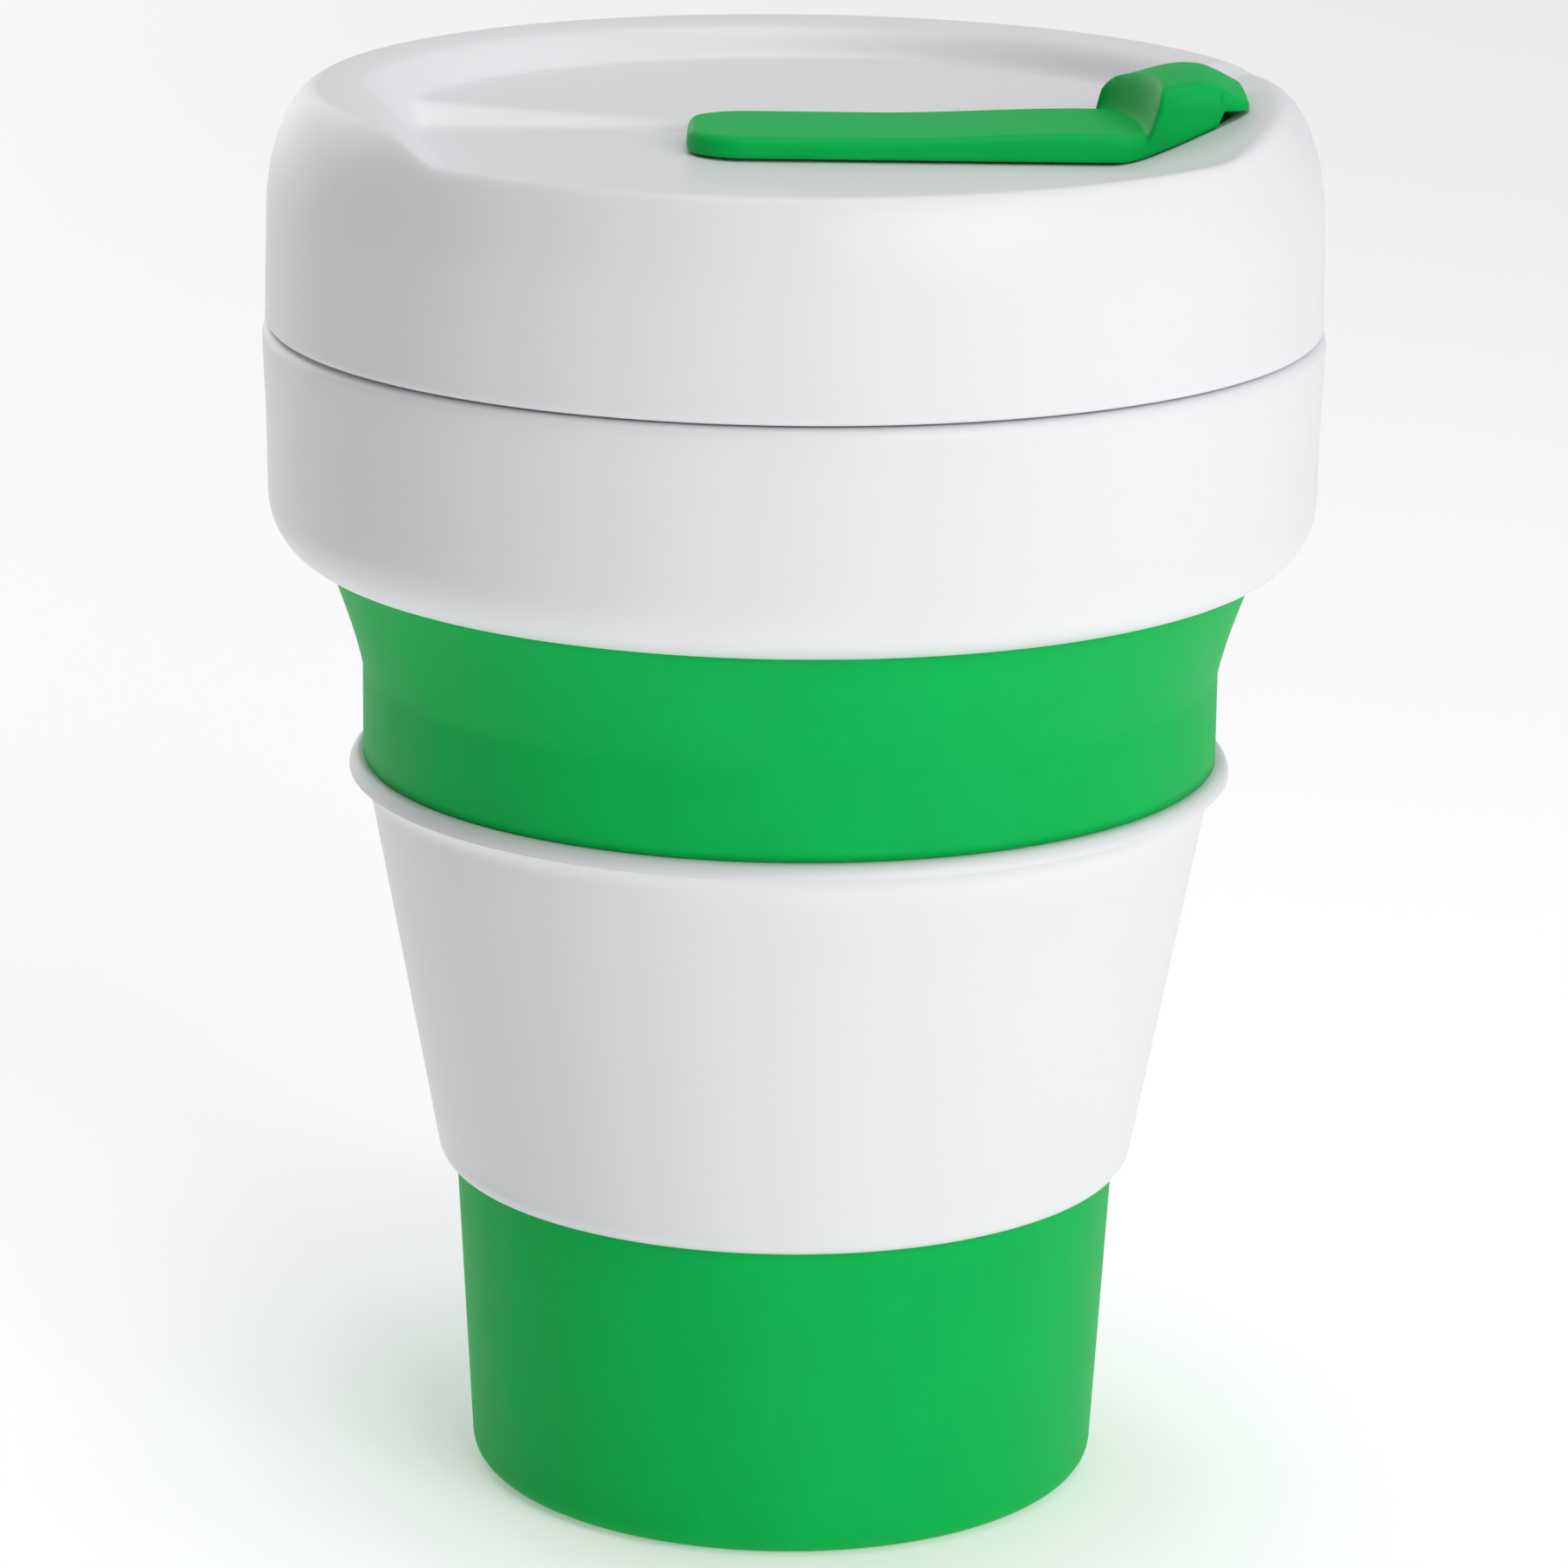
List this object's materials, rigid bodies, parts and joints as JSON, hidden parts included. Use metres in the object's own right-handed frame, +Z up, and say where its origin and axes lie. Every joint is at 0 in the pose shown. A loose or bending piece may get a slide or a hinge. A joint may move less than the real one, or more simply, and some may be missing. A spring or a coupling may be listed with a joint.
{
  "type": "collapsible travel cup",
  "caption": "Collapsible silicone travel cup with a screw lid, flip stopper, ring collar and hard heat sleeve; its tiers fold up into the collar.",
  "frame": {"origin": "centre of the foot, on the surface the cup stands on", "axes": "+Z up along the cup's axis; +X from the axis towards the stopper and its sip hole; the front of the cup faces -Y"},
  "size_m": [0.0984, 0.0984, 0.1349],
  "materials": {
    "lid_plastic": "satin",
    "collar_plastic": "satin",
    "sleeve_plastic": "satin",
    "cup_silicone": "matte silicone",
    "stopper_silicone": "matte silicone",
    "gasket_silicone": "translucent silicone"
  },
  "bodies": {
    "base": {"cup_base": "cup_silicone", "lower_fold": "cup_silicone"},
    "middle": {"cup_middle": "cup_silicone"},
    "sleeve": {"heat_sleeve": "sleeve_plastic"},
    "collar": {"collar_shell": "collar_plastic", "threaded_neck": "collar_plastic", "cup_rim": "cup_silicone", "upper_fold": "cup_silicone"},
    "gasket": {"lid_gasket": "gasket_silicone"},
    "lid": {"lid_shell": "lid_plastic", "stopper_anchor": "stopper_silicone"},
    "stopper": {"stopper_flap": "stopper_silicone"}
  },
  "joints": [
    {"name": "middle_slide", "type": "slide", "parent": "base", "child": "middle", "axis": [0, 0, -1], "range_m": [0, 0.03], "deforming": ["lower_fold"]},
    {"name": "collar_slide", "type": "slide", "parent": "middle", "child": "collar", "axis": [0, 0, -1], "range_m": [0, 0.038], "deforming": ["upper_fold"]},
    {"name": "sleeve_off", "type": "slide", "parent": "middle", "child": "sleeve", "axis": [0, 0, -1], "range_m": [0, 0.074]},
    {"name": "lid_rise", "type": "slide", "parent": "collar", "child": "gasket", "axis": [0, 0, 1], "range_m": [0, 0.015]},
    {"name": "lid_turn", "type": "hinge", "parent": "gasket", "child": "lid", "pos_m": [0, 0, 0.117], "axis": [0, 0, 1], "range_deg": [0, 450]},
    {"name": "stopper_flip", "type": "hinge", "parent": "lid", "child": "stopper", "pos_m": [0.003, 0, 0.12945], "axis": [0, -1, 0], "range_deg": [0, 120]}
  ],
  "couplings": [
    {"joint": "lid_rise", "follows": "lid_turn", "m_per_rad": 0.0019098}
  ]
}
